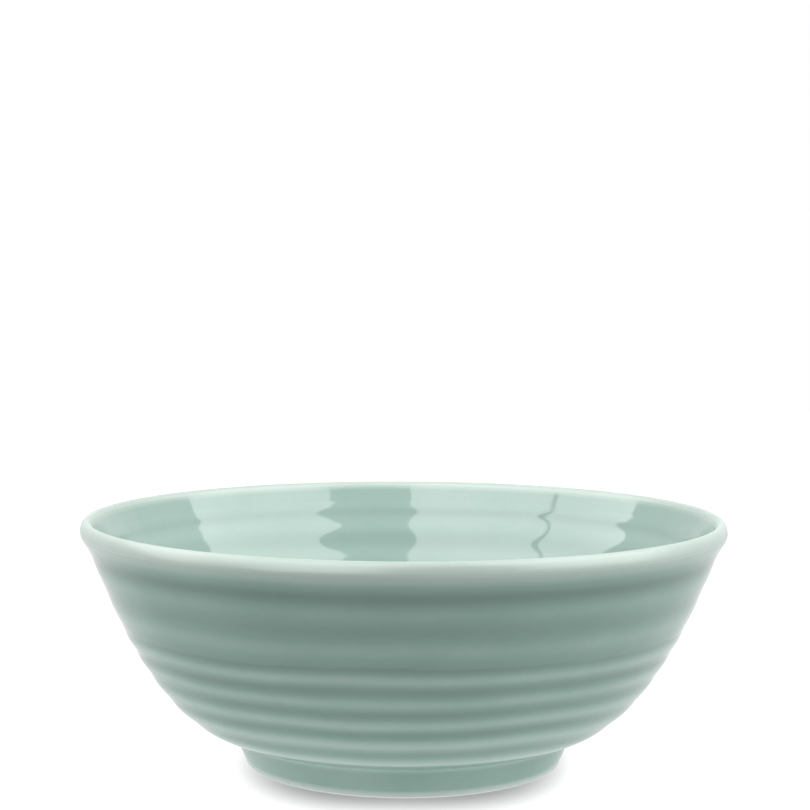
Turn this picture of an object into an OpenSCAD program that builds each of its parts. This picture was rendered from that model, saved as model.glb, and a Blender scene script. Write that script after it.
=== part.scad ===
// Magnetic pin bowl: a thrown porcelain bowl on a foot ring, with a disc magnet
// glued into the recess under its floor so that steel pins stay in the bowl.
// Millimetres. +Z is up, and the origin is the centre of the plane it stands on.

/* [Bowl] */
// Outer diameter over the lip
rim_d = 116; // [96:1:140]
// Height from the table to the top of the lip
bowl_h = 44.4; // [38:0.2:60]
// Thickness of the wall where it leaves the foot
wall_low = 3.6; // [3:0.1:4.6]
// Thickness of the wall under the lip
wall_high = 2.4; // [2:0.1:3.4]
// Thickness of the floor over the recess
floor_t = 3.4; // [2.6:0.1:5]

/* [Curve of the wall] */
// Angle above level at which the wall leaves the foot
wall_rise = 8; // [5:1:20]
// Length of the round stretch above the foot
wall_pull_low = 15.1; // [11:0.1:20]
// Length of the straight stretch under the lip
wall_pull_high = 4.4; // [2:0.2:12]
// Lean of the wall out from upright under the lip
wall_lean = 27; // [18:0.5:34]

/* [Lip] */
// Thickness of the rounded lip
lip_t = 2.3; // [1.8:0.1:3.2]
// Height of the rounded top of the lip
lip_round_h = 2.1; // [1:0.1:2.6]
// Height of the flared band, from the wall's end to the top of the lip
lip_band_h = 4.9; // [3.8:0.1:7]
// How far the lip flares out past the wall's end
lip_flare = 1.45; // [0.6:0.05:2.4]

/* [Throwing rings] */
// Depth of the rings outside, from crest to groove
ring_depth = 0.24; // [0:0.02:0.6]
// Depth of the softer rings inside
ring_depth_in = 0.2; // [0:0.02:0.5]
// Height of the lowest groove above the foot
ring_first = 4; // [3:0.1:6]
// Height of one of the narrow rings low on the wall
ring_pitch_low = 4.15; // [3:0.05:6]
// Number of the narrow rings
ring_count_low = 4; // [2:1:5]
// Height of one of the wide rings below the lip
ring_pitch_high = 6.3; // [4:0.1:9]

/* [Foot] */
// Outer diameter of the foot on the table
foot_d = 57.4; // [46:0.2:66]
// Width of the foot ring on the table
foot_w = 3; // [2.4:0.1:5]
// Height of the foot from the table to the wall
foot_h = 5.6; // [4.6:0.1:8]
// How far the foot widens from the table up to the wall
foot_taper = 2.2; // [0:0.1:3]
// Reach of the glaze that rounds the corner between foot and wall
foot_fillet = 1.1; // [0.4:0.1:2]
// Radius of the rounded edges of the foot ring
foot_edge_r = 0.7; // [0.3:0.05:1]
// Depth of the recess inside the foot ring
recess_h = 2.5; // [2:0.1:4]
// Radius of the rounded corner inside the recess
recess_r = 1.4; // [0.6:0.1:1.8]

/* [Magnet] */
// Diameter of the disc magnet
magnet_d = 25; // [15:0.5:32]
// Thickness of the disc magnet
magnet_t = 1; // [0.8:0.05:1.5]
// Bevel round the magnet's edges
magnet_bevel = 0.15; // [0.05:0.05:0.3]
// Thickness of the adhesive between magnet and bowl
adhesive_t = 0.25; // [0.1:0.05:0.4]
// How far the adhesive stays back from the magnet's edge
adhesive_inset = 0.3; // [0:0.05:1]

/* [Hidden] */
$fn = 128;
wall_steps = 84;
floor_steps = 18;
lip_steps = 12;
edge_steps = 5;

// Ends of the wall's outer curve, and the two handles that bend it.
foot_top = [foot_d / 2 + foot_taper, foot_h];
wall_top = [rim_d / 2 - lip_flare, bowl_h - lip_band_h];
wall_handle_low = foot_top + wall_pull_low * [cos(wall_rise), sin(wall_rise)];
wall_handle_high = wall_top - wall_pull_high * [sin(wall_lean), cos(wall_lean)];
WALL = [foot_top, wall_handle_low, wall_handle_high, wall_top];

// Centre of the lip's half ellipse, which rounds the top between both faces of the wall.
lip_mid = [(rim_d - lip_t) / 2, bowl_h - lip_round_h];

// Heights of the floor inside, of the lowest groove and of the first wide ring.
floor_z = recess_h + floor_t;
groove_z = foot_h + ring_first;
wide_z = groove_z + ring_count_low * ring_pitch_low;

// A cubic curve with two ends and two handles, and its unit direction.
function curve(p, t) =
    pow(1 - t, 3) * p[0] + 3 * t * pow(1 - t, 2) * p[1] + 3 * t * t * (1 - t) * p[2] + pow(t, 3) * p[3];
function heading(p, t) =
    let (d = pow(1 - t, 2) * (p[1] - p[0]) + 2 * t * (1 - t) * (p[2] - p[1]) + t * t * (p[3] - p[2]))
    d / norm(d);
// The direction square to a heading, towards the outside of the bowl.
function outward(d) = [d[1], -d[0]];

// Rings are counted up from the lowest groove. They fade out at the foot and under the lip.
function ring_turns(z) =
    z < wide_z ? (z - groove_z) / ring_pitch_low : ring_count_low + (z - wide_z) / ring_pitch_high;
function fade(z) =
    let (low = (z - foot_h) / ring_first, high = (wall_top[1] - z) / 2)
    sin(90 * max(0, min(1, low, high)));
function ring(z, depth) = -depth / 2 * cos(360 * ring_turns(z)) * fade(z);

// Outer face of the wall, inner face from the same curve less the wall's thickness.
function wall_outside(t) =
    let (p = curve(WALL, t)) p + ring(p[1], ring_depth) * outward(heading(WALL, t));
function wall_inside(t) =
    let (
        p = curve(WALL, t),
        thick = wall_low + (wall_high - wall_low) * t,
        q = p - thick * outward(heading(WALL, t))
    )
    q + ring(q[1], ring_depth_in) * outward(heading(WALL, t));

// The dish of the floor meets the inner face of the wall at the wall's own slope.
inside_low = wall_inside(0);
dish_half = inside_low[0] / 2;
dish_pull = min(0.8 * (inside_low[1] - floor_z) / sin(wall_rise), dish_half / cos(wall_rise));
DISH = [
    [0, floor_z],
    [dish_half, floor_z],
    inside_low - dish_pull * [cos(wall_rise), sin(wall_rise)],
    inside_low
];

// Short flares that carry both faces of the wall into the lip, upright at the lip.
inside_high = wall_inside(1);
lip_out = lip_mid + [lip_t / 2, 0];
lip_in = lip_mid - [lip_t / 2, 0];
function flare(from, to) =
    let (pull = (to[1] - from[1]) / 3)
    [from, from + pull * [tan(wall_lean), 1], to - pull * [tan(wall_lean) / 3, 1], to];
FLARE_OUT = flare(wall_top, lip_out);
FLARE_IN = flare(inside_high, lip_in);

// A round corner, turned from one angle to another.
function arc(mid, r, from, to, steps) =
    [for (i = [0:steps]) let (a = from + (to - from) * i / steps) mid + r * [cos(a), sin(a)]];

// The corner between the foot's side and the wall, rounded by a curve through both.
foot_side = (foot_top - [foot_d / 2, foot_edge_r]) / norm(foot_top - [foot_d / 2, foot_edge_r]);
fillet_t = foot_fillet / (3 * wall_pull_low);
function foot_blend(t) =
    pow(1 - t, 2) * (foot_top - foot_fillet * foot_side) + 2 * t * (1 - t) * foot_top
    + t * t * wall_outside(fillet_t);

foot_in = foot_d / 2 - foot_w;
bowl_profile = concat(
    [[0, recess_h]],
    arc([foot_in - recess_r, recess_h - recess_r], recess_r, 90, 0, edge_steps),
    arc([foot_in + foot_edge_r, foot_edge_r], foot_edge_r, 180, 270, edge_steps),
    arc([foot_d / 2 - foot_edge_r, foot_edge_r], foot_edge_r, 270, 345, edge_steps),
    [for (i = [0:edge_steps]) foot_blend(i / edge_steps)],
    [for (i = [1:wall_steps]) wall_outside(fillet_t + (1 - fillet_t) * i / wall_steps)],
    [for (i = [1:lip_steps]) curve(FLARE_OUT, i / lip_steps)],
    [for (i = [1:2 * lip_steps - 1]) let (a = 90 * i / lip_steps)
        lip_mid + [lip_t / 2 * cos(a), lip_round_h * sin(a)]],
    [for (i = [lip_steps:-1:1]) curve(FLARE_IN, i / lip_steps)],
    [for (i = [wall_steps:-1:1]) wall_inside(i / wall_steps)],
    [for (i = [floor_steps:-1:0]) curve(DISH, i / floor_steps)]
);

// The fired bowl with its foot ring, one piece of porcelain.
module bowl() {
    color([0.6, 0.73, 0.69]) rotate_extrude() polygon(bowl_profile);
}

// Nickel-plated disc, held against the adhesive and clear of the table.
magnet_top = recess_h - adhesive_t;
module disc_magnet() {
    r = magnet_d / 2;
    b = magnet_bevel;
    color([0.75, 0.73, 0.66]) translate([0, 0, magnet_top - magnet_t]) rotate_extrude()
        polygon([
            [0, 0], [r - b, 0], [r, b], [r, magnet_t - b], [r - b, magnet_t], [0, magnet_t]
        ]);
}

// Thin pad of clear adhesive between the magnet and the roof of the recess.
module adhesive() {
    color([0.82, 0.8, 0.7]) translate([0, 0, magnet_top])
        cylinder(h = adhesive_t, d = magnet_d - 2 * (magnet_bevel + adhesive_inset));
}

bowl();
disc_magnet();
adhesive();
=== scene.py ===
# %% [markdown]
# # A magnetic pin bowl
# A small porcelain bowl with a pale green glaze stands on a white table. A disc magnet is glued
# into the shallow recess under it, so that pins and needles stay in the bowl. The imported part
# is loaded first. It fixes every size and place, and this script adds the looks.

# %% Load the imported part
import math

import bpy
from mathutils import Euler, Matrix, Vector


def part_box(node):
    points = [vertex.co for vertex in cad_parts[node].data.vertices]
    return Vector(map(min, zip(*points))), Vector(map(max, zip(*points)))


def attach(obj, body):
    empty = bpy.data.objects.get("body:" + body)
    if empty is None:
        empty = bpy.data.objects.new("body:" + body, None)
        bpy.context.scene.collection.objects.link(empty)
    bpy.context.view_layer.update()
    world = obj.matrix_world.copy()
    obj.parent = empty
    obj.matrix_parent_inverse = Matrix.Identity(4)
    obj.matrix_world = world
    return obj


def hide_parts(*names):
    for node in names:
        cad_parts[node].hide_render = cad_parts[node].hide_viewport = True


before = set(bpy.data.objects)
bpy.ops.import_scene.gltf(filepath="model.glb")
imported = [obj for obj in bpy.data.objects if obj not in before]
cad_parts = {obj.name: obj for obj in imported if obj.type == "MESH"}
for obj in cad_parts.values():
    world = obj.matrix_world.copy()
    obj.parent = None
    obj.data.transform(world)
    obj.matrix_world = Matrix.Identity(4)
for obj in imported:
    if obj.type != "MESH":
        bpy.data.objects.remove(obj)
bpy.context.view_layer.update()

# %% [markdown]
# ## Sizes
# All lengths are in metres, in the part's own frame. The outer sizes come from the packed
# nodes' boxes. The others repeat the bowl's design: its wall is one curve with two handles, its
# lip is half an ellipse, and its foot is a short ring that widens upwards.

# %% Sizes of the bowl and its magnet
MM = 0.001
_, bowl_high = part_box("bowl")
magnet_low, magnet_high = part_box("disc_magnet")
adhesive_low, adhesive_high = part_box("adhesive")

# The wall: its thickness at both ends, its angles at both ends, and the lengths of its handles.
lip_r = min(bowl_high.x, bowl_high.y)
bowl_h = bowl_high.z
wall_low, wall_high = 3.6 * MM, 2.4 * MM
wall_rise, wall_lean = math.radians(8), math.radians(27)
wall_pull_low, wall_pull_high = 15.1 * MM, 4.4 * MM

# The lip: its thickness, the height of its round top and of its band, and how far it flares.
lip_t, lip_round_h, lip_band_h, lip_flare = 2.3 * MM, 2.1 * MM, 4.9 * MM, 1.45 * MM

# The foot ring, the recess inside it and the floor above that.
foot_r, foot_w, foot_h, foot_taper = 28.7 * MM, 3 * MM, 5.6 * MM, 2.2 * MM
foot_edge_r, foot_fillet = 0.7 * MM, 1.1 * MM
recess_h, recess_r, floor_t = adhesive_high.z, 1.4 * MM, 3.4 * MM
floor_z = recess_h + floor_t
print("lip", round(2000 * lip_r, 2), "mm across,", round(1000 * bowl_h, 2), "mm high")

# %% [markdown]
# ## The throwing rings
# At every turn of the wheel a thrower's fingers leave a ridge. Low on this bowl the ridges are
# narrow, and further up they are wide and flat. They show inside as well, a little higher. They
# could be a bump in the material, but then the edge of the bowl would stay smooth against the
# white. So they are pressed into the mesh, and these are their sizes.

# %% Sizes of the rings
rings = {
    "Ring depth outside": 0.165 * MM,
    "Ring depth inside": 0.44 * MM,
    "Lowest groove": 9.6 * MM,
    "Inside lift": 2.0 * MM,
    "Narrow pitch": 4.15 * MM,
    "Narrow rings": 4.0,
    "Wide pitch": 6.3 * MM,
    "Foot height": foot_h,
    "Wall top": bowl_h - lip_band_h,
}
hand = {
    "Ring wander": 0.8 * MM,
    "Front rise": 0.8 * MM,
    "Ring unevenness": 0.7,
    "Swell": 0.05 * MM,
    "Seed": 4.0,
}
print("rings:", len(rings), "sizes, and", len(hand), "for the thrower's hand")

# %% [markdown]
# ## Nodes written as sums
# Both the shapes and the finishes below are node trees. A small class wraps one socket, so that
# a line such as `1 - mask * 0.5` adds the Math nodes for it. Every other kind of node comes from
# `add`, which takes the node's settings first and then the values or wires for its sockets.

# %% A wire that can be reckoned with
class Wire:
    """One socket of a node tree. Arithmetic on wires adds Math nodes."""

    def __init__(self, tree, socket=None):
        self.tree = tree
        self.socket = socket

    def add(self, kind, settings=None, inputs=None, out=0):
        """Adds a node, sets it up, fills its sockets and returns one of its outputs."""
        node = self.tree.nodes.new(kind)
        for name, value in (settings or {}).items():
            if name == "stops":
                set_stops(node.color_ramp, value)
            else:
                setattr(node, name, value)
        for name, value in (inputs or {}).items():
            if isinstance(value, Wire):
                self.tree.links.new(value.socket, node.inputs[name])
            else:
                node.inputs[name].default_value = value
        return Wire(self.tree, node.outputs[out] if len(node.outputs) else None)

    def math(self, operation, *values):
        return self.add("ShaderNodeMath", {"operation": operation}, dict(enumerate((self, *values))))

    def __add__(self, other):
        return self.math("ADD", other)

    def __radd__(self, other):
        return self.math("ADD", other)

    def __sub__(self, other):
        return self.math("SUBTRACT", other)

    def __rsub__(self, other):
        return (self * -1).math("ADD", other)

    def __mul__(self, other):
        return self.math("MULTIPLY", other)

    def __rmul__(self, other):
        return self.math("MULTIPLY", other)

    def __truediv__(self, other):
        return self.math("DIVIDE", other)

    def __gt__(self, other):
        return self.math("GREATER_THAN", other)

    def __lt__(self, other):
        return self.math("LESS_THAN", other)

    def least(self, other):
        return self.math("MINIMUM", other)

    def most(self, other):
        return self.math("MAXIMUM", other)

    def unit(self):
        """Keeps a value between 0 and 1."""
        return self.most(0.0).least(1.0)

    def axis(self, letter):
        """One number out of a vector: X, Y or Z."""
        return self.add("ShaderNodeSeparateXYZ", inputs={0: self}, out=letter)

    def vector(self, operation, *values):
        return self.add("ShaderNodeVectorMath", {"operation": operation}, dict(enumerate((self, *values))))


print("wire class ready")


# %% Colours on wires
def set_stops(ramp, stops):
    """Gives a colour ramp its stops, each a place and a colour."""
    while len(ramp.elements) < len(stops):
        ramp.elements.new(1.0)
    for element, (place, colour) in zip(ramp.elements, stops):
        element.position = place
        element.color = (*colour, 1.0)


def blend(factor, first, second):
    """Mixes two colours, wired or plain. The Mix node takes them in sockets 6 and 7."""
    inputs = {0: factor, 6: first, 7: second}
    inputs = {k: (*v, 1.0) if isinstance(v, tuple) else v for k, v in inputs.items()}
    return factor.add("ShaderNodeMix", {"data_type": "RGBA"}, inputs, out=2)


print("colour helpers ready")

# %% [markdown]
# ## The potter's wheel
# A thrown bowl is a body of revolution, so its shape follows a rule: one outline, turned round
# the axis. A Screw modifier could turn it, but then its rings would be alike all the way round.
# The geometry nodes here do what a wheel and a thrower's fingers do. The outline is a chain of
# points that carry marks: which way is out, how much ring each point takes, and how thick the
# glaze lies, with painted shade in a few places. The tree gets an input for every size, so one
# wheel makes all the round pieces.

# %% Set up the wheel and its inputs
wheel = bpy.data.node_groups.new("potters_wheel", "GeometryNodeTree")
face = wheel.interface
face.new_socket("Outline", in_out="INPUT", socket_type="NodeSocketGeometry")
face.new_socket("Columns", in_out="INPUT", socket_type="NodeSocketInt")
for label in (*rings, *hand):
    face.new_socket(label, in_out="INPUT", socket_type="NodeSocketFloat")
face.new_socket("Finish", in_out="INPUT", socket_type="NodeSocketMaterial")
face.new_socket("Turned", in_out="OUTPUT", socket_type="NodeSocketGeometry")
dial = {s.name: Wire(wheel, s) for s in wheel.nodes.new("NodeGroupInput").outputs if s.name}
hub = Wire(wheel)
print("wheel inputs:", len(dial))

# %% [markdown]
# ## A flat grid that reads the outline
# The clay starts as a flat grid, with one column for each step of the wheel and one row for each
# point of the outline. Every grid point works out its row, and reads that row's marks.

# %% Lay out the grid and read the marks
rows = hub.add("GeometryNodeAttributeDomainSize", inputs={"Geometry": dial["Outline"]}, out="Point Count")
grid = hub.add("GeometryNodeMeshGrid", inputs={
    "Size X": 1.0, "Size Y": 1.0, "Vertices X": dial["Columns"] + 1, "Vertices Y": rows})
place = hub.add("GeometryNodeInputPosition")
turn = (place.axis("X") + 0.5) * math.tau
row = ((place.axis("Y") + 0.5) * (rows - 1)).math("ROUND")


def at_row(value, kind="FLOAT"):
    """Reads a value of the outline at this row's point."""
    return hub.add("GeometryNodeSampleIndex", {"data_type": kind},
                   {"Geometry": dial["Outline"], "Value": value, "Index": row})


def read_mark(name, kind="FLOAT"):
    return at_row(hub.add("GeometryNodeInputNamedAttribute", {"data_type": kind}, {"Name": name}), kind)


point = at_row(hub.add("GeometryNodeInputPosition"), "FLOAT_VECTOR")
out = read_mark("out", "FLOAT_VECTOR")
takes_outside = read_mark("ring_outside")
takes_inside = read_mark("ring_inside")
# The glaze mark is the glaze's thickness, with painted shade and a painted paler inside in a few places.
thickness_and_shade_mark = read_mark("glaze")
print("wheel:", len(wheel.nodes), "nodes so far")

# %% [markdown]
# ## Rings that wander
# No two turns of a thrown bowl are alike. Three noises move the rings up and down, make them
# deeper or shallower, and swell the wall a little. Each noise reads a point on a cylinder, so it
# meets itself at the seam. The lowest rings also rise at the front, as they do in the photograph.
# Then the rings are counted up from the lowest groove, the narrow ones first.

# %% Count the rings up the wall
east, north, height = turn.math("COSINE"), turn.math("SINE"), point.axis("Z")

# Up to rise_full the rise at the front is whole. Over rise_fades it loses a share, rise_lost.
rise_full, rise_fades, rise_lost = 14 * MM, 12 * MM, 0.7
top_fades = 2 * MM


def waver(scale, step, seed):
    """A soft noise from about -1 to 1. step says how fast it changes with height."""
    where = hub.add("ShaderNodeCombineXYZ", inputs={"X": east, "Y": north, "Z": height * step})
    noise = hub.add("ShaderNodeTexNoise", {"noise_dimensions": "4D"},
                    {"Vector": where, "W": dial["Seed"] + seed, "Scale": scale, "Detail": 1.0})
    return noise * 2 - 1


front = (north * -1).most(0.0).math("POWER", 4.0)
rise = front * (1 - ((height - rise_full) / rise_fades).unit() * rise_lost) * dial["Front rise"]
wander = waver(scale=1.6, step=40.0, seed=0.0) * dial["Ring wander"]
wandered = height + wander - rise - takes_inside * dial["Inside lift"]
narrow = (wandered - dial["Lowest groove"]) / dial["Narrow pitch"]
wide_from = dial["Lowest groove"] + dial["Narrow rings"] * dial["Narrow pitch"]
wide = dial["Narrow rings"] + (wandered - wide_from) / dial["Wide pitch"]
is_wide = wandered > wide_from
turns = narrow + (wide - narrow) * is_wide
low_fade = (height - dial["Foot height"]) / (dial["Lowest groove"] - dial["Foot height"])
high_fade = (dial["Wall top"] - height) / top_fades
fade = (low_fade.least(high_fade).unit() * (math.pi / 2)).math("SINE")
crest = (turns * math.tau).math("COSINE") * -0.5 * fade
print("wheel:", len(wheel.nodes), "nodes so far")

# %% [markdown]
# ## Pressing and glazing
# The wall is pushed along its own outward direction. Glaze gathers in the grooves and thins on
# the crests, so the same crests change the glaze mark. The mark is stored while the grid is still
# flat, because its rows are read from their flat places. Only then is the grid bent round the
# axis, and the seam and the two middles are closed.

# %% Press the rings in and turn the grid round
# How much shallower the wide rings are, and how strongly glaze gathers in the narrow grooves,
# how much less in the wide ones, and what share of that it does inside.
wide_shallower = 0.31
pool_narrow, pool_wide_less, pool_inside = 0.36, 0.18, 0.35
depth = dial["Ring depth outside"] * takes_outside + dial["Ring depth inside"] * takes_inside
uneven = 1 + waver(scale=1.3, step=70.0, seed=3.7) * dial["Ring unevenness"]
bulge = waver(scale=1.0, step=14.0, seed=8.1) * dial["Swell"]
swell = bulge * fade * (takes_outside + takes_inside)
push = crest * depth * uneven * (1 - is_wide * wide_shallower) + swell
radius = point.axis("X") + out.axis("X") * push
lift = height + out.axis("Z") * push

takes_pool = takes_outside + takes_inside * pool_inside
gathers = (pool_narrow - pool_wide_less * is_wide) * uneven * takes_pool
pooled = thickness_and_shade_mark * (1 - crest * gathers)
marked = hub.add("GeometryNodeStoreNamedAttribute", {"data_type": "FLOAT", "domain": "POINT"},
                 {"Geometry": grid, "Name": "glaze", "Value": pooled})
thrown = hub.add("ShaderNodeCombineXYZ", inputs={"X": radius * east, "Y": radius * north, "Z": lift})
shaped = hub.add("GeometryNodeSetPosition", inputs={"Geometry": marked, "Position": thrown})
closed = hub.add("GeometryNodeMergeByDistance", inputs={"Geometry": shaped, "Distance": 0.001 * MM})
smooth = hub.add("GeometryNodeSetShadeSmooth", inputs={0: closed})
real = hub.add("GeometryNodeRealizeInstances", inputs={"Geometry": smooth})
finished = hub.add("GeometryNodeSetMaterial", inputs={"Geometry": real, "Material": dial["Finish"]})
hub.add("NodeGroupOutput", inputs={"Turned": finished})
print("wheel:", len(wheel.nodes), "nodes in all")

# %% [markdown]
# ## Using the wheel
# An outline becomes a mesh of points and edges, with its marks as named attributes. The wheel
# runs on it as a modifier, whose inputs are set by their identifiers. The evaluated object is
# then turned into a plain mesh, so that nothing live is left on the finished piece.

# %% Turn an outline on the wheel
def outline_mesh(name, points):
    """A chain of points and edges that carries the outline's marks."""
    mesh = bpy.data.meshes.new(name)
    links = [(i, i + 1) for i in range(len(points) - 1)]
    mesh.from_pydata([(q["p"].x, 0, q["p"].y) for q in points], links, [])
    for mark in ("ring_outside", "ring_inside", "glaze"):
        mesh.attributes.new(mark, "FLOAT", "POINT").data.foreach_set("value", [q[mark] for q in points])
    outs = [v for q in points for v in (q["out"].x, 0.0, q["out"].y)]
    mesh.attributes.new("out", "FLOAT_VECTOR", "POINT").data.foreach_set("vector", outs)
    return mesh


def turn_piece(name, points, columns, finish, values):
    """Turns an outline on the wheel and returns the finished piece as a plain mesh."""
    piece = bpy.data.objects.new(name, outline_mesh(name, points))
    bpy.context.scene.collection.objects.link(piece)
    modifier = piece.modifiers.new("wheel", "NODES")
    modifier.node_group = wheel
    sockets = {s.name: s.identifier for s in wheel.interface.items_tree if s.in_out == "INPUT"}
    for label, value in {"Columns": columns, "Finish": finish, **values}.items():
        modifier[sockets[label]] = value
    made = piece.evaluated_get(bpy.context.evaluated_depsgraph_get())
    mesh = bpy.data.meshes.new_from_object(made)
    piece.modifiers.remove(modifier)
    piece.data = mesh
    mesh.name = name
    print(name, "has", sum(len(f.vertices) - 2 for f in mesh.polygons), "triangles")
    return piece


print("wheel ready")

# %% [markdown]
# ## Curves for the outline
# The outline is drawn in the plane of the page, as pairs of radius and height. Three kinds of
# stretch are enough for it: a straight line, a cubic curve with two handles, and a part of an
# ellipse. Each leaves out its last point, because the next stretch starts there.

# %% Curve helpers
def line(a, b, steps):
    return [a.lerp(b, i / steps) for i in range(steps)]


def cubic(p, t):
    return (1 - t) ** 3 * p[0] + 3 * t * (1 - t) ** 2 * p[1] + 3 * t * t * (1 - t) * p[2] + t ** 3 * p[3]


def heading(p, t):
    """The direction of a cubic curve at t."""
    d = (1 - t) ** 2 * (p[1] - p[0]) + 2 * t * (1 - t) * (p[2] - p[1]) + t * t * (p[3] - p[2])
    return d.normalized()


def outward(direction):
    return Vector((direction.y, -direction.x))


def bow(mid, half, start, end, steps):
    """Part of an ellipse about mid, from one angle in degrees to another."""
    angles = [math.radians(start + (end - start) * i / steps) for i in range(steps)]
    return [mid + Vector((half.x * math.cos(a), half.y * math.sin(a))) for a in angles]


def along_cubic(p, steps):
    return [cubic(p, i / steps) for i in range(steps)]


print("curve helpers ready")

# %% [markdown]
# ## The wall, the lip and the floor
# The outside of the wall is one curve, from the top of the foot to the flare under the lip. The
# inside is the same curve less the wall's thickness. It runs straight into the round of the lip,
# and meets it where both lean the same, so that the rim has no bead inside. The floor is a
# shallow dish that leaves the middle level and meets the wall at the wall's own slope.

# %% Curves of the wall, the lip and the floor
foot_top = Vector((foot_r + foot_taper, foot_h))
wall_top = Vector((lip_r - lip_flare, bowl_h - lip_band_h))
rising = Vector((math.cos(wall_rise), math.sin(wall_rise)))
leaning = Vector((math.sin(wall_lean), math.cos(wall_lean)))
WALL = [foot_top, foot_top + wall_pull_low * rising, wall_top - wall_pull_high * leaning, wall_top]


def wall_inside(t):
    thick = wall_low + (wall_high - wall_low) * t
    return cubic(WALL, t) - thick * outward(heading(WALL, t))


lip_mid = Vector((lip_r - lip_t / 2, bowl_h - lip_round_h))
lip_half = Vector((lip_t / 2, lip_round_h))
lip_out = lip_mid + Vector((lip_t / 2, 0))
lip_end = 180 - math.degrees(math.atan(math.tan(wall_lean) * lip_half.y / lip_half.x))
lip_inner = bow(lip_mid, lip_half, lip_end, 180, 1)[0]

# A short curve from the wall into the lip, upright where it meets the lip.
flare_pull = (lip_out.y - wall_top.y) / 3
flare_lean = math.tan(wall_lean)
FLARE = [
    wall_top,
    wall_top + flare_pull * Vector((flare_lean, 1)),
    lip_out - flare_pull * Vector((flare_lean / 3, 1)),
    lip_out,
]

inside_low, inside_high = wall_inside(0), wall_inside(1)
dish_half = inside_low.x / 2
dish_pull = min(0.8 * (inside_low.y - floor_z) / math.sin(wall_rise), dish_half / math.cos(wall_rise))
DISH = [Vector((0, floor_z)), Vector((dish_half, floor_z)), inside_low - dish_pull * rising, inside_low]
print("wall from", [round(1000 * v, 1) for v in foot_top], "to", [round(1000 * v, 1) for v in wall_top])

# %% [markdown]
# ## Marks on the outline
# The mark for the glaze is 0 where the clay was wiped bare and about 1 on the wall. It is less
# where glaze runs off an edge, as on the lip. It is more under the flare of the lip, as painted
# shade under the overhang, and most in the corner of the recess. The inside gets less than the
# outside, which paints it paler, as painted light. Each stretch of the outline says how many
# points it gets: many where the eye follows a reflection, few where it is flat.

# %% Add a stretch to the outline
outline = []


def stretch(points, glaze, ring=None, outs=None):
    """Adds points to the outline. The glaze mark, the glaze's thickness with painted shade in a few
    places, is a number or a function of how far along a point is.
    """
    for i, p in enumerate(points):
        s = i / max(1, len(points) - 1)
        outline.append({
            "p": p,
            "out": outs[i] if outs else Vector((0, 0)),
            "ring_outside": 1.0 if ring == "outside" else 0.0,
            "ring_inside": 1.0 if ring == "inside" else 0.0,
            "glaze": glaze(s) if callable(glaze) else glaze,
        })


def between(a, b):
    return lambda s: a + (b - a) * s


# The inside's mark is lower than the wall's, which paints the inside paler than the outside: painted light
# for how bright the inside looks.
BARE_CLAY, RIM_COAT, INSIDE_COAT_PAINTED_PALER = 0.0, 0.42, 0.82
print("glaze: bare", BARE_CLAY, "rim", RIM_COAT, "inside", INSIDE_COAT_PAINTED_PALER)

# %% [markdown]
# ## The recess and the foot ring
# The outline starts in the middle of the recess. The potter dips the whole bowl and then wipes
# the foot ring, because glaze there would stick to the kiln shelf. So the mark falls to 0 round
# the foot's lower edges and climbs again up its side. The glaze rounds the corner between the
# foot and the wall, as a small fillet.

# %% Draw the recess and the foot ring
foot_in = foot_r - foot_w
foot_side = (foot_top - Vector((foot_r, foot_edge_r))).normalized()
fillet_t = foot_fillet / (3 * wall_pull_low)
fillet_from, fillet_to = foot_top - foot_fillet * foot_side, cubic(WALL, fillet_t)
FILLET = [fillet_from, fillet_from.lerp(foot_top, 2 / 3), fillet_to.lerp(foot_top, 2 / 3), fillet_to]
edge = Vector((foot_edge_r, foot_edge_r))
corner = Vector((recess_r, recess_r))
roof_from, roof_to = Vector((0, recess_h)), Vector((foot_in - recess_r, recess_h))
side_from, side_to = Vector((foot_in, recess_h - recess_r)), Vector((foot_in, foot_edge_r))
sole_from, sole_to = Vector((foot_in + foot_edge_r, 0)), Vector((foot_r - foot_edge_r, 0))

stretch(line(roof_from, roof_to, 14), lambda s: 0.68 + 0.4 * s ** 8)
stretch(bow(Vector((foot_in, recess_h)) - corner, corner, 90, 0, 10), between(1.1, 1.5))
stretch(line(side_from, side_to, 3), between(1.2, 0.5))
stretch(bow(Vector((foot_in, 0)) + edge, edge, 180, 270, 8), between(0.4, BARE_CLAY))
stretch(line(sole_from, sole_to, 5), BARE_CLAY)
stretch(bow(Vector((foot_r - foot_edge_r, foot_edge_r)), edge, 270, 350, 8), between(BARE_CLAY, 0.4))
stretch(line(Vector((foot_r, foot_edge_r)), fillet_from, 12), lambda s: 0.42 + 0.56 * min(1.0, s * 5))
stretch(along_cubic(FILLET, 8), 0.97)
print("outline:", len(outline), "points so far")

# %% [markdown]
# ## The wall and the lip
# The wall gets the most points, because its rings and its reflections are what the eye follows.
# Both faces of it take the rings. On the outside the mark grows a little upwards, which paints
# shade: the upper wall darker and the lower wall lighter, as the table light below falls on it. A
# darker band under the flare is painted shade under the lip's overhang. The glaze is thin and
# pale over the lip, and the inside is painted paler than the outside.

# %% Draw the wall, the lip and the inside
# Painted shade: the mark grows a little upwards, so the upper wall is darker and the lower wall lighter,
# as the table light below falls. Its bump near the top paints a darker band of shade under the lip.
def wall_coat_and_painted_shade(s):
    return 0.99 + 0.09 * min(1.0, 2 * s) + 0.2 * math.exp(-((s - 0.94) / 0.07) ** 2)


wall_rows, inside_rows = 140, 124
wall_t = [fillet_t + (1 - fillet_t) * i / wall_rows for i in range(wall_rows)]
inside_t = [1 - i / inside_rows for i in range(inside_rows)]
wall_outs = [outward(heading(WALL, t)) for t in wall_t]
inside_outs = [outward(heading(WALL, t)) for t in inside_t]

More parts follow.
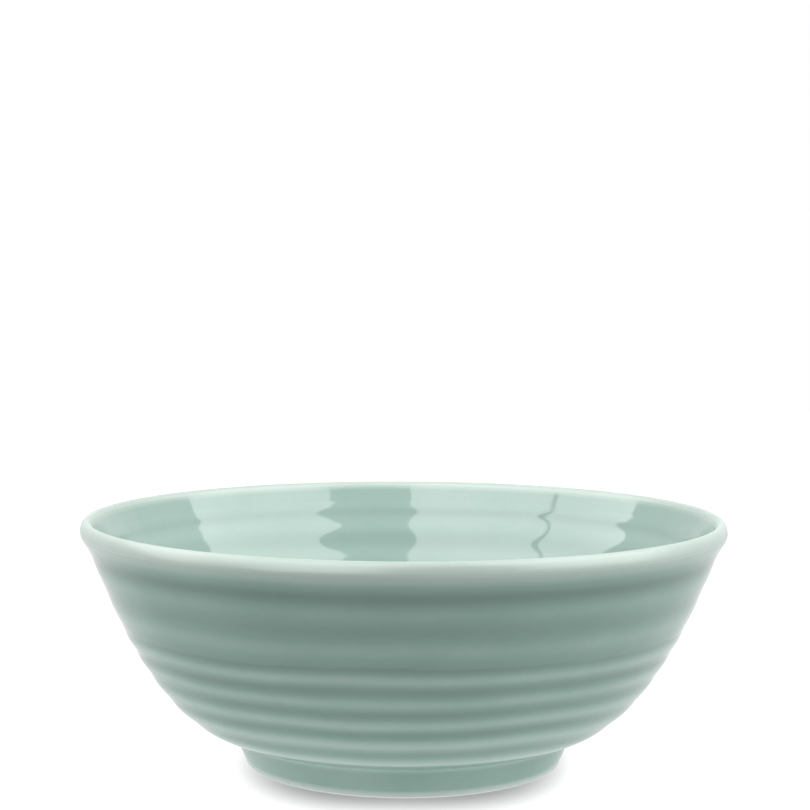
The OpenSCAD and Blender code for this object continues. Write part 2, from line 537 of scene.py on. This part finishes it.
stretch([cubic(WALL, t) for t in wall_t], wall_coat_and_painted_shade, "outside", wall_outs)
# The flare starts dark, which carries on the painted shade under the lip, and pales towards the lip's thin
# glaze.
stretch(along_cubic(FLARE, 14), lambda s: 1.15 - 0.69 * s ** 1.4)
stretch(bow(lip_mid, lip_half, 0, lip_end, 20), between(0.46, RIM_COAT))
stretch(line(lip_inner, inside_high, 14), lambda s: RIM_COAT + 0.4 * min(1.0, 3 * s))
stretch([wall_inside(t) for t in inside_t], INSIDE_COAT_PAINTED_PALER, "inside", inside_outs)
stretch(list(reversed(along_cubic(DISH, 24))), INSIDE_COAT_PAINTED_PALER)
print("outline:", len(outline), "points in all")

# %% [markdown]
# ## Starting a finish
# Each finish is an empty material whose nodes come from wires. Small round specks are wanted
# twice, in the glaze and as bubbles in the adhesive. A pattern of cells gives each speck its
# middle, and a chance for each cell keeps only a few of them.

# %% Helpers for finishes
def new_finish(name):
    finish = bpy.data.materials.new(name)
    finish.use_nodes = True
    finish.node_tree.nodes.clear()
    return finish, Wire(finish.node_tree)


def cloud(w, where, scale, detail):
    """A noise from 0 to 1. A higher scale makes it finer, and detail adds smaller noises to it."""
    return w.add("ShaderNodeTexNoise", inputs={"Vector": where, "Scale": scale, "Detail": detail})


def spots(w, where, scale, keep, size, seed):
    """Round specks: one in each cell of a pattern, kept in only a few of the cells."""
    moved = where.vector("ADD", (seed, seed * 0.7, seed * 1.3))
    inputs = {"Vector": moved, "Scale": scale}
    distance = w.add("ShaderNodeTexVoronoi", {"feature": "F1"}, inputs, out="Distance")
    chance = w.add("ShaderNodeTexVoronoi", {"feature": "F1"}, inputs, out="Color").axis("X")
    return (1 - distance / size).unit() * (chance < keep)


def relief_bump(w, relief):
    """A bump from heights in metres."""
    return w.add("ShaderNodeBump", inputs={"Strength": 1.0, "Distance": 1.0, "Height": relief})


print("finish helpers ready")

# %% [markdown]
# ## The glaze
# Celadon is a glass with a little iron in it. It is nearly clear where it is thin and green
# where it is deep, so the lip and the edge of the foot are pale and the grooves are darker. The
# mark from the wheel says how thick the glaze lies, and in a few places it carries painted shade
# and a painted paler inside too. A colour ramp turns it into six tones, from bare clay to the
# deepest green. A soft noise clouds it, and a few specks of iron sit in it. Thick glaze is as
# smooth as glass. Thin glaze takes on the roughness of the clay, so the lip shines more softly
# than the wall. A plain coat of one green would be quicker, but it would hide how the bowl was made.

# %% Mix the glaze's colours
DEEP, DENSE, GREEN = (0.11, 0.19, 0.163), (0.155, 0.255, 0.22), (0.197, 0.325, 0.281)
LIGHT, THIN, CLAY = (0.31, 0.43, 0.386), (0.50, 0.58, 0.54), (0.68, 0.69, 0.66)
IRON = (0.16, 0.17, 0.11)

# Marks: the thickest glaze, and those below which the clay shows and the gloss begins to fade.
THICKEST, BARE_BELOW, THIN_BELOW = 1.5, 0.22, 0.8
tones = [(0.04, CLAY), (0.2, THIN), (0.54, LIGHT), (0.7, GREEN), (0.84, DENSE), (1.0, DEEP)]
print("tones of glaze:", len(tones))

# %% [markdown]
# The bump adds what is too fine for the mesh: the lines that the fingers leave round the wall, a
# slight ripple that bends the reflections, and the grain of the bare clay. The lines are a noise
# that changes only with height, and a drift keeps them from being level.

# %% Make the celadon finish
line_depth, ripple_depth, grain_depth, line_drift = 0.02 * MM, 0.03 * MM, 0.03 * MM, 2.0 * MM


def make_celadon():
    finish, w = new_finish("celadon_porcelain")
    where = w.add("ShaderNodeTexCoord", out="Object")
    mark = w.add("ShaderNodeAttribute", {"attribute_name": "glaze"}, out="Fac")
    clouds = cloud(w, where, scale=55.0, detail=3.0)
    grain = cloud(w, where, scale=900.0, detail=2.0)
    coat = mark + (clouds - 0.5) * 0.22 + (grain - 0.5) * 0.05
    colour = w.add("ShaderNodeValToRGB", {"stops": tones}, {"Fac": coat / THICKEST})
    specks = spots(w, where, scale=70.0, keep=0.05, size=0.035, seed=2.0)
    colour = blend(specks * 0.55, colour, IRON)
    bare = (1 - mark / BARE_BELOW).unit()
    roughness = 0.055 + (clouds - 0.5) * 0.03 + (THIN_BELOW - mark).unit() * 0.7 + bare * 0.1

    drift = cloud(w, where, scale=18.0, detail=1.0)
    around = w.add("ShaderNodeCombineXYZ", inputs={"Z": where.axis("Z") + drift * line_drift})
    lines = cloud(w, around, scale=620.0, detail=2.0)
    ripple = cloud(w, where, scale=90.0, detail=1.0)
    relief = lines * line_depth + ripple * ripple_depth + grain * bare * grain_depth
    shader = w.add("ShaderNodeBsdfPrincipled", inputs={
        "Base Color": colour, "Roughness": roughness, "Normal": relief_bump(w, relief), "IOR": 1.6})
    w.add("ShaderNodeOutputMaterial", inputs={"Surface": shader})
    return finish


celadon = make_celadon()
print("celadon:", len(celadon.node_tree.nodes), "nodes")

# %% [markdown]
# ## Throwing the bowl
# The bowl is one piece of porcelain on the real object: foot, wall, lip and glaze are fired
# together. So it is one mesh here too, and it takes the place of the imported bowl, which is hidden.

# %% Throw the bowl
bowl = turn_piece("thrown_bowl", outline, columns=232, finish=celadon, values={**rings, **hand})
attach(bowl, "root")
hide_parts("bowl")

# %% [markdown]
# ## The magnet
# The disc is pressed from magnet powder, ground flat and plated with nickel. It is also a body of
# revolution, so the same wheel makes it, from an outline with small round edges and no rings.
# The plating is a metal with a warm grey colour. A fine grain in its roughness and a few
# hairline scratches keep it from looking like a mirror.

# %% Make the nickel finish
def make_nickel():
    finish, w = new_finish("nickel_plate")
    where = w.add("ShaderNodeTexCoord", out="Object")
    clouds = cloud(w, where, scale=160.0, detail=3.0)
    grain = cloud(w, where, scale=4200.0, detail=2.0)
    stretched = w.add("ShaderNodeMapping", inputs={
        "Vector": where, "Rotation": (0, 0, 0.6), "Scale": (60.0, 2600.0, 60.0)})
    scratches = cloud(w, stretched, scale=1.0, detail=2.0)
    hair = ((scratches - 0.64) * 9).unit()
    colour = blend(clouds, (0.63, 0.58, 0.465), (0.71, 0.655, 0.535))
    roughness = 0.30 + (clouds - 0.5) * 0.14 + (grain - 0.5) * 0.1 + hair * 0.12
    relief = grain * (0.002 * MM) + hair * (-0.001 * MM)
    shader = w.add("ShaderNodeBsdfPrincipled", inputs={
        "Base Color": colour, "Metallic": 1.0, "Roughness": roughness, "Normal": relief_bump(w, relief)})
    w.add("ShaderNodeOutputMaterial", inputs={"Surface": shader})
    return finish


nickel = make_nickel()
print("nickel:", len(nickel.node_tree.nodes), "nodes")


# %% Make the disc
def plain_outline(points):
    """An outline with no rings and no glaze."""
    still = {"out": Vector((0, 0)), "ring_outside": 0.0, "ring_inside": 0.0, "glaze": 0.0}
    return [{"p": p, **still} for p in points]


bevel = Vector((0.15 * MM, 0.15 * MM))
disc_r, disc_base, disc_roof = magnet_high.x, magnet_low.z, magnet_high.z
disc_points = (
    line(Vector((0, disc_roof)), Vector((disc_r - bevel.x, disc_roof)), 10)
    + bow(Vector((disc_r, disc_roof)) - bevel, bevel, 90, 0, 8)
    + line(Vector((disc_r, disc_roof - bevel.y)), Vector((disc_r, disc_base + bevel.y)), 4)
    + bow(Vector((disc_r - bevel.x, disc_base + bevel.y)), bevel, 0, -90, 8)
    + line(Vector((disc_r - bevel.x, disc_base)), Vector((0, disc_base)), 10)
    + [Vector((0, disc_base))]
)
no_rings = {**dict.fromkeys(rings, 1.0), "Ring depth outside": 0.0, "Ring depth inside": 0.0}
disc_outline = plain_outline(disc_points)
disc = turn_piece("nickel_disc", disc_outline, columns=240, finish=nickel, values=no_rings)
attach(disc, "root")
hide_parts("disc_magnet")

# %% [markdown]
# ## The adhesive
# Between the magnet and the roof of the recess lies a thin pad of clear adhesive. Its rim is a
# hollow curve, as a wetting liquid leaves between two faces. Only a dark line of it shows, so a
# plain glossy finish with a few bubbles is enough, and real clear glass would add nothing.

# %% Make the adhesive's finish
def make_adhesive():
    finish, w = new_finish("clear_adhesive")
    where = w.add("ShaderNodeTexCoord", out="Object")
    clouds = cloud(w, where, scale=240.0, detail=2.0)
    bubbles = spots(w, where, scale=900.0, keep=0.2, size=0.3, seed=5.0)
    colour = blend(clouds, (0.42, 0.44, 0.36), (0.55, 0.55, 0.45))
    roughness = 0.16 + clouds * 0.12 + bubbles * 0.2
    relief = clouds * (0.02 * MM) - bubbles * (0.01 * MM)
    shader = w.add("ShaderNodeBsdfPrincipled", inputs={
        "Base Color": colour, "Roughness": roughness, "Normal": relief_bump(w, relief), "IOR": 1.48})
    w.add("ShaderNodeOutputMaterial", inputs={"Surface": shader})
    return finish


adhesive_finish = make_adhesive()
print("adhesive:", len(adhesive_finish.node_tree.nodes), "nodes")

# %% Make the pad
pad_r, pad_low, pad_high = adhesive_high.x, adhesive_low.z, adhesive_high.z
pad_mid = Vector((pad_r, (pad_low + pad_high) / 2))
pad_hollow = Vector((0.08 * MM, (pad_high - pad_low) / 2))
pad_points = (
    line(Vector((0, pad_high)), Vector((pad_r, pad_high)), 8)
    + bow(pad_mid, pad_hollow, 90, 270, 10)
    + line(Vector((pad_r, pad_low)), Vector((0, pad_low)), 8)
    + [Vector((0, pad_low))]
)
pad_outline = plain_outline(pad_points)
pad = turn_piece("adhesive_pad", pad_outline, columns=160, finish=adhesive_finish, values=no_rings)
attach(pad, "root")
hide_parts("adhesive")

# %% [markdown]
# ## The white table
# The bowl stands on a white table that is lit from below, as photographers use it, so there is
# no hard shadow, only a soft grey one round the foot. The floor is made the same way. It lets
# the lamp under it through. Its own matt grey takes the real shadow, and a glow that only the
# camera sees makes the open table white. The glow starts a little outside the foot and grows
# smoothly, by a formula in the floor's own coordinates, so the soft grey oval round the foot is
# partly a painted shadow. It stays in place from every angle. The glaze mirrors the floor as an
# even pale grey. Seen from below the floor is clear, so that the recess and the magnet can be
# looked at.

# %% Make the table's finish
# Half the painted shadow's width and depth, how the glow grows from there, and the floor's two greys.
painted_shadow_across, painted_shadow_along = 29.8 * MM, 38.0 * MM
glow_growth, glow_start = 0.9, 0.126
matt_grey, mirrored_grey = (0.2, 0.2, 0.2, 1.0), 0.7


def seen_directly(w):
    """1 for rays from the camera and through clear things."""
    straight = w.add("ShaderNodeLightPath", out="Is Camera Ray")
    return straight.most(w.add("ShaderNodeLightPath", out="Is Transmission Ray"))


# The glow that makes the table white is weaker in an oval round the foot, which paints a soft shadow
# there, over the real one.
def make_table_white():
    finish, w = new_finish("table_white")
    below = w.add("ShaderNodeNewGeometry", out="Backfacing")
    matt = w.add("ShaderNodeBsdfDiffuse", inputs={"Color": matt_grey})
    where = w.add("ShaderNodeTexCoord", out="Object")
    across = (where.axis("X") / painted_shadow_across).math("ABSOLUTE").math("POWER", 3.0)
    along = (where.axis("Y") / painted_shadow_along).math("POWER", 2.0)
    outside_painted_shadow = (glow_growth * (across + along) - glow_start).unit()
    level = outside_painted_shadow * outside_painted_shadow * (3 - 2 * outside_painted_shadow)
    mirrored = w.add("ShaderNodeLightPath", out="Is Glossy Ray") * mirrored_grey
    strength = seen_directly(w) * level + mirrored
    glow = w.add("ShaderNodeEmission", inputs={"Color": (1, 1, 1, 1), "Strength": strength})
    both = w.add("ShaderNodeAddShader", inputs={0: matt, 1: glow})
    clear = w.add("ShaderNodeBsdfTransparent")
    shader = w.add("ShaderNodeMixShader", inputs={0: below, 1: both, 2: clear})
    w.add("ShaderNodeOutputMaterial", inputs={"Surface": shader})
    return finish


table_white = make_table_white()
print("table:", len(table_white.node_tree.nodes), "nodes")

# %% Lay the floor
floor_half = 0.9
floor_mesh = bpy.data.meshes.new("table")
corners = [(-1, -1), (1, -1), (1, 1), (-1, 1)]
floor_mesh.from_pydata([(x * floor_half, y * floor_half, 0) for x, y in corners], [], [(0, 1, 2, 3)])
floor = bpy.data.objects.new("table", floor_mesh)
floor_mesh.materials.append(table_white)
bpy.context.scene.collection.objects.link(floor)
floor.visible_diffuse = floor.visible_shadow = False
print("floor", 2 * floor_half, "m wide")

# %% [markdown]
# ## Light
# The lamp under the table lights the outside of the wall. A ceiling lamp and a lamp high in
# front light the inside. Three tall soft boxes lean round the front of the table, and the far
# wall inside the bowl mirrors them as broad pale patches whose edges waver with the rings. The
# narrow gap between two of them is the thin dark line on the right. How much a box lights the
# bowl and how brightly it shows in the glaze are set apart, so each box is two lamps in one
# place: one that lights the bowl, and one, a hair nearer, that only shines in it.

# %% Helpers for lamps
def place_lamp(name, shape, wide, tall, brightness, spot, turned=(0, 0, 0), lights=True, shines=False):
    """Adds a flat lamp. brightness is the radiance of its face."""
    lamp = bpy.data.lights.new(name, "AREA")
    lamp.shape = shape
    lamp.size, lamp.size_y = wide, tall
    area = wide * tall * (math.pi / 4 if shape == "ELLIPSE" else 1)
    lamp.energy = brightness * math.pi * area
    stand = bpy.data.objects.new(name, lamp)
    stand.location = spot
    stand.rotation_euler = turned
    stand.visible_camera = False
    stand.visible_diffuse, stand.visible_glossy = lights, shines
    bpy.context.scene.collection.objects.link(stand)


def soft_box(name, bearing, rise, wide, tall, lean, light, shine=0.0):
    """A window of light that faces the bowl. bearing is counted from the camera's side."""
    b, r = math.radians(bearing), math.radians(rise)
    away = Vector((math.sin(b) * math.cos(r), -math.cos(b) * math.cos(r), math.sin(r)))
    spot = away * box_distance + Vector((0, 0, bowl_h / 2))
    facing = away.to_track_quat("Z", "Y").to_matrix() @ Matrix.Rotation(math.radians(lean), 3, "Z")
    turned = facing.to_euler()
    place_lamp(name, "RECTANGLE", wide, tall, light, spot, turned)
    if shine:
        nearer = spot - away * hair_gap
        place_lamp(name + "_shine", "RECTANGLE", wide, tall, shine, nearer, turned,
                   lights=False, shines=True)


box_distance, hair_gap = 0.6, 2 * MM
print("soft boxes stand", box_distance, "m from the bowl")

# %% Place the lamps
soft_box("right_box", bearing=74.3, rise=38, wide=0.60, tall=0.72, lean=-18, light=2.2, shine=2.9)
soft_box("left_box", bearing=-37, rise=38, wide=0.55, tall=0.86, lean=15.7, light=0.1, shine=3.0)
soft_box("side_box", bearing=-93.2, rise=32, wide=0.33, tall=0.78, lean=44.2, light=2.8, shine=2.9)
above, below, upwards = Vector((0, 0, 0.65)), Vector((0, 0, -0.02)), (math.pi, 0, 0)
place_lamp("ceiling_light", "ELLIPSE", wide=0.9, tall=0.9, brightness=1.3, spot=above)
soft_box("front_light", bearing=0, rise=62, wide=0.6, tall=0.4, lean=0, light=1.9)
place_lamp("table_light", "ELLIPSE", wide=0.6, tall=0.3, brightness=1.15, spot=below, turned=upwards)

# %% [markdown]
# ## The room
# The room round the table is white to the camera. As a light it is dim, so that the lamps give
# the bowl its form, and in the glaze it is a plain pale grey behind the soft boxes.

# %% Light the room
room_light, room_shine = 0.10, 0.9
world = bpy.data.worlds.new("white_room")
bpy.context.scene.world = world
world.use_nodes = True
world.node_tree.nodes.clear()
room = Wire(world.node_tree)
mirrored = room.add("ShaderNodeLightPath", out="Is Glossy Ray") * room_shine
level = room_light + (1 - room_light) * seen_directly(room) + mirrored
sky = room.add("ShaderNodeBackground", inputs={"Color": (1, 1, 1, 1), "Strength": level})
room.add("ShaderNodeOutputWorld", inputs={"Surface": sky})
print("world:", len(world.node_tree.nodes), "nodes")

# %% [markdown]
# ## Camera
# The photograph looks down on the bowl by about ten degrees, from about six lip radii away, and
# the bowl stands low in the frame. So the camera looks at the bowl's middle and is then tilted
# up a little, which keeps its lens centred.

# %% Set the camera
# The photograph's frame and focal length in pixels, and the camera's angles.
frame_px, focal_px = 810, 1890.6
camera_rise, tilt_up, turn_right, roll = (math.radians(a) for a in (10.44, 6.615, 0.019, 0.232))

# Its distance and the height it looks at were read in lip radii, from the curves of lip and foot.
design_lip_r = 58 * MM
camera_distance, aim_height = 5.976 * design_lip_r, 0.42 * design_lip_r
aim = Vector((0, 0, aim_height))

lens = bpy.data.cameras.new("camera")
lens.sensor_width = 36
lens.lens = focal_px / frame_px * lens.sensor_width
lens.clip_start, lens.clip_end = 0.01, 20
camera = bpy.data.objects.new("camera", lens)
camera.location = aim + camera_distance * Vector((0, -math.cos(camera_rise), math.sin(camera_rise)))
facing = Euler((math.pi / 2 - camera_rise + tilt_up, 0, -turn_right)).to_matrix()
camera.rotation_euler = (facing @ Matrix.Rotation(roll, 3, "Z")).to_euler()
bpy.context.scene.collection.objects.link(camera)
bpy.context.scene.camera = camera
bpy.context.scene.view_settings.view_transform = "Standard"
print("lens", round(lens.lens, 1), "mm")
